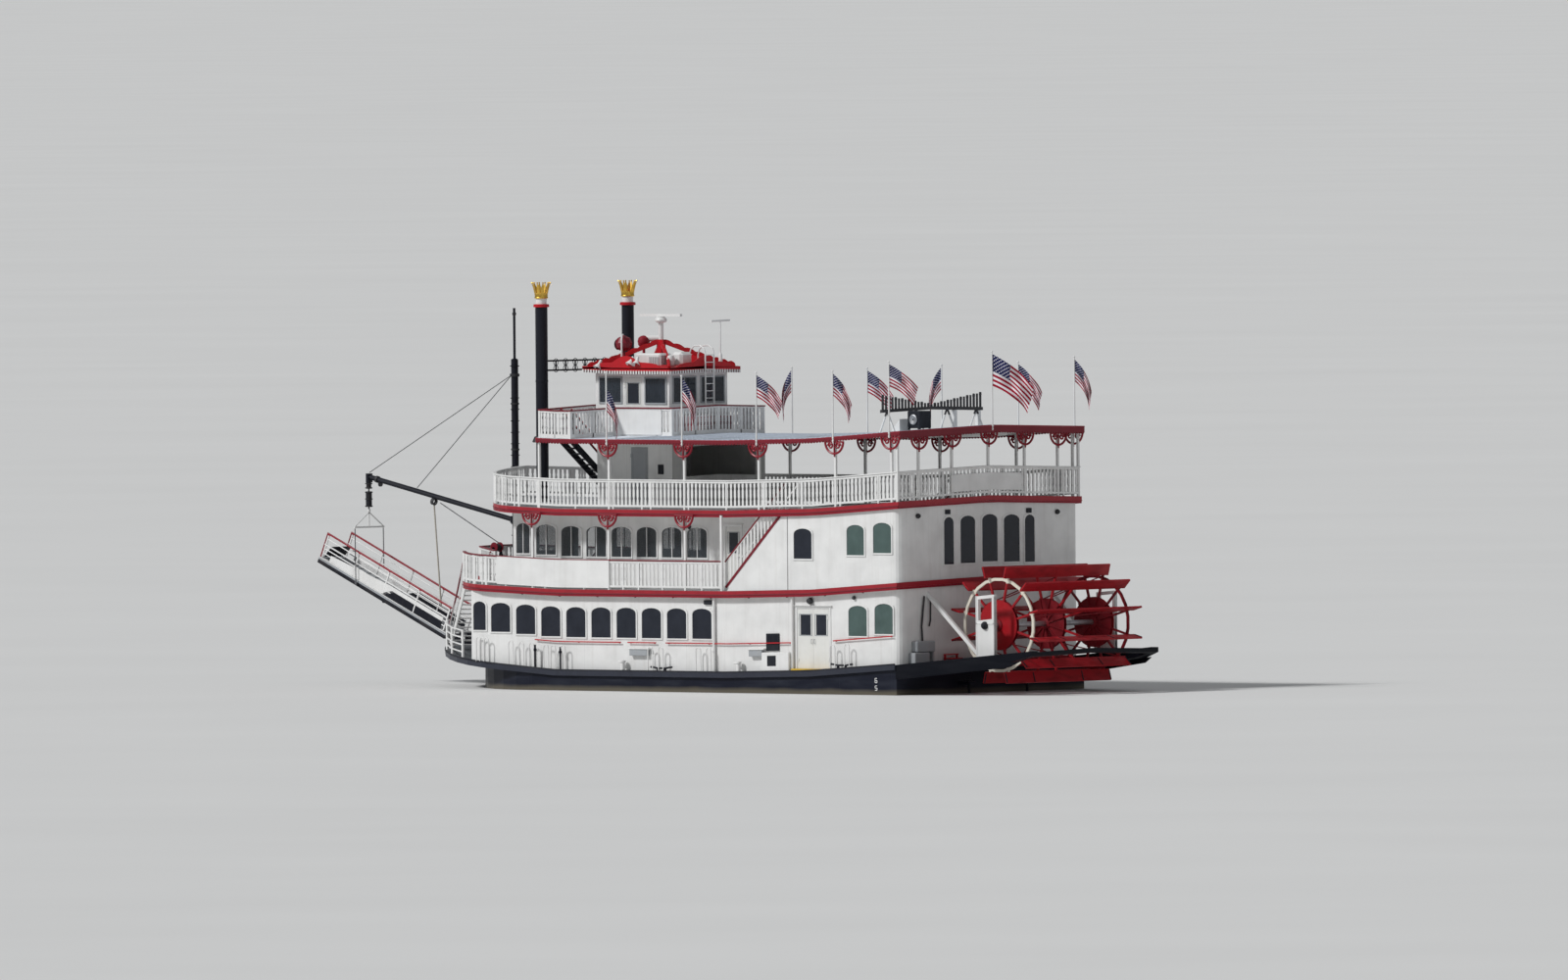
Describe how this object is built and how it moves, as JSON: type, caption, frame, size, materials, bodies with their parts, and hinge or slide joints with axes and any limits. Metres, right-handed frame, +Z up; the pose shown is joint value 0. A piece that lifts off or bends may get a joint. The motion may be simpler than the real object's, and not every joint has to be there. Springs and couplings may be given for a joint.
{
  "type": "stern paddle steamer",
  "caption": "Multi-deck stern paddle steamer with a flat-bottomed hull, railed decks, pilothouse, crowned stacks, a swinging bow stage and a turning stern wheel.",
  "frame": {"origin": "on the centreline at the underside of the flat hull bottom, 10 m ahead of the after cabin wall", "axes": "+X towards the stern and its wheel, +Y to starboard, +Z up"},
  "size_m": [36.058, 10.1948, 15.1624],
  "materials": {
    "white": "gloss white paint",
    "door_white": "gloss white paint",
    "hull_navy": "satin navy paint",
    "edge_red": "gloss red paint",
    "wheel_red": "satin red paint",
    "trim_red": "gloss dark red paint",
    "roof_grey": "matte grey paint",
    "stage_grey": "matte grey paint",
    "black": "satin black paint"
  },
  "bodies": {
    "ship": {"cabin_side_port": "white", "cabin_side_starboard": "white", "cabin_front": "white", "cabin_aft": "white", "saloon_side_port": "white", "saloon_side_starboard": "white", "saloon_front": "white", "after_cabin": "white", "deckhouse": "white", "pilothouse": "white", "bow_rail_port": "white", "bow_rail_starboard": "white", "rail_deck_2_port": "white", "rail_deck_2_starboard": "white", "rail_deck_2_bow": "white", "rail_deck_3": "white", "rail_roof": "white", "bow_stair_port": "white", "bow_stair_starboard": "white", "side_stair_port": "white", "side_stair_starboard": "white", "roof_units": "white", "scanner_post": "white", "wheel_bracket_port": "white", "wheel_bracket_starboard": "white", "hull": "hull_navy", "main_deck": "hull_navy", "deck_2": "edge_red", "deck_3": "edge_red", "pilothouse_roof": "edge_red", "searchlight": "edge_red", "roof_edge": "trim_red", "roof_stair": "trim_red", "roof": "roof_grey", "stack_port": "black", "stack_starboard": "black", "stack_brace": "black", "mast": "black", "calliope": "black", "fantail_frame": "black"},
    "paddle_wheel": {"wheel_shaft": "roof_grey", "wheel_spider_port": "wheel_red", "wheel_spider_starboard": "wheel_red", "wheel_buckets": "wheel_red"},
    "rudder_port": {"rudder_port": "black"},
    "rudder_starboard": {"rudder_starboard": "black"},
    "boom": {"boom": "black", "boom_stays": "black"},
    "stage_swivel": {"stage_swivel": "black"},
    "stage": {"stage": "stage_grey"},
    "stage_hoist": {"stage_hoist": "white"},
    "scanner_bar": {"scanner_bar": "white"},
    "cabin_door_fore_port": {"cabin_door_fore_port": "door_white"},
    "cabin_door_aft_port": {"cabin_door_aft_port": "door_white"},
    "cabin_door_fore_starboard": {"cabin_door_fore_starboard": "door_white"},
    "cabin_door_aft_starboard": {"cabin_door_aft_starboard": "door_white"},
    "saloon_door_port": {"saloon_door_port": "door_white"},
    "saloon_door_starboard": {"saloon_door_starboard": "door_white"},
    "deckhouse_door": {"deckhouse_door": "door_white"},
    "pilothouse_door": {"pilothouse_door": "door_white"}
  },
  "joints": [
    {"name": "paddle_wheel_spin", "type": "hinge", "parent": "ship", "child": "paddle_wheel", "pos_m": [12.63, 0, 3.35], "axis": [0, 1, 0], "continuous": true},
    {"name": "scanner_spin", "type": "hinge", "parent": "ship", "child": "scanner_bar", "pos_m": [-5.335, 0, 13.88], "axis": [0, 0, 1], "continuous": true},
    {"name": "rudder_port_turn", "type": "hinge", "parent": "ship", "child": "rudder_port", "pos_m": [10.35, -1.5, 1.35], "axis": [0, 0, 1], "range_deg": [-40, 40]},
    {"name": "rudder_starboard_turn", "type": "hinge", "parent": "ship", "child": "rudder_starboard", "pos_m": [10.35, 1.5, 1.35], "axis": [0, 0, 1], "range_deg": [-40, 40]},
    {"name": "boom_swing", "type": "hinge", "parent": "ship", "child": "boom", "pos_m": [-12.3, 0, 6.75], "axis": [0, 0, 1], "range_deg": [-25, 25]},
    {"name": "stage_swing", "type": "hinge", "parent": "ship", "child": "stage_swivel", "pos_m": [-14.56, 0, 2.46], "axis": [0, 0, 1], "range_deg": [-36, 36]},
    {"name": "stage_tilt", "type": "hinge", "parent": "stage_swivel", "child": "stage", "pos_m": [-15.12, 0, 2.66], "axis": [0, 1, 0], "range_deg": [-34, 0]},
    {"name": "hoist_travel", "type": "slide", "parent": "stage_swivel", "child": "stage_hoist", "axis": [0, 0, 1], "range_m": [-2.65, 0]},
    {"name": "cabin_door_fore_port_open", "type": "hinge", "parent": "ship", "child": "cabin_door_fore_port", "pos_m": [5.233, -4.662, 2.86], "axis": [0, 0, 1], "range_deg": [-100, 0]},
    {"name": "cabin_door_aft_port_open", "type": "hinge", "parent": "ship", "child": "cabin_door_aft_port", "pos_m": [6.697, -4.662, 2.86], "axis": [0, 0, 1], "range_deg": [0, 100]},
    {"name": "cabin_door_fore_starboard_open", "type": "hinge", "parent": "ship", "child": "cabin_door_fore_starboard", "pos_m": [5.233, 4.662, 2.86], "axis": [0, 0, 1], "range_deg": [0, 100]},
    {"name": "cabin_door_aft_starboard_open", "type": "hinge", "parent": "ship", "child": "cabin_door_aft_starboard", "pos_m": [6.697, 4.662, 2.86], "axis": [0, 0, 1], "range_deg": [-100, 0]},
    {"name": "saloon_door_port_open", "type": "hinge", "parent": "ship", "child": "saloon_door_port", "pos_m": [1.083, -3.678, 5.67], "axis": [0, 0, 1], "range_deg": [0, 95]},
    {"name": "saloon_door_starboard_open", "type": "hinge", "parent": "ship", "child": "saloon_door_starboard", "pos_m": [1.083, 3.678, 5.67], "axis": [0, 0, 1], "range_deg": [-95, 0]},
    {"name": "deckhouse_door_open", "type": "hinge", "parent": "ship", "child": "deckhouse_door", "pos_m": [-4.597, -2.412, 8.42], "axis": [0, 0, 1], "range_deg": [-100, 0]},
    {"name": "pilothouse_door_open", "type": "hinge", "parent": "ship", "child": "pilothouse_door", "pos_m": [-5.697, -1.512, 10.86], "axis": [0, 0, 1], "range_deg": [-100, 0]}
  ],
  "couplings": [
    {"joint": "rudder_starboard_turn", "follows": "rudder_port_turn", "ratio": 1},
    {"joint": "stage_swing", "follows": "boom_swing", "ratio": 1.44},
    {"joint": "hoist_travel", "follows": "stage_tilt", "m_per_rad": 4.46}
  ]
}
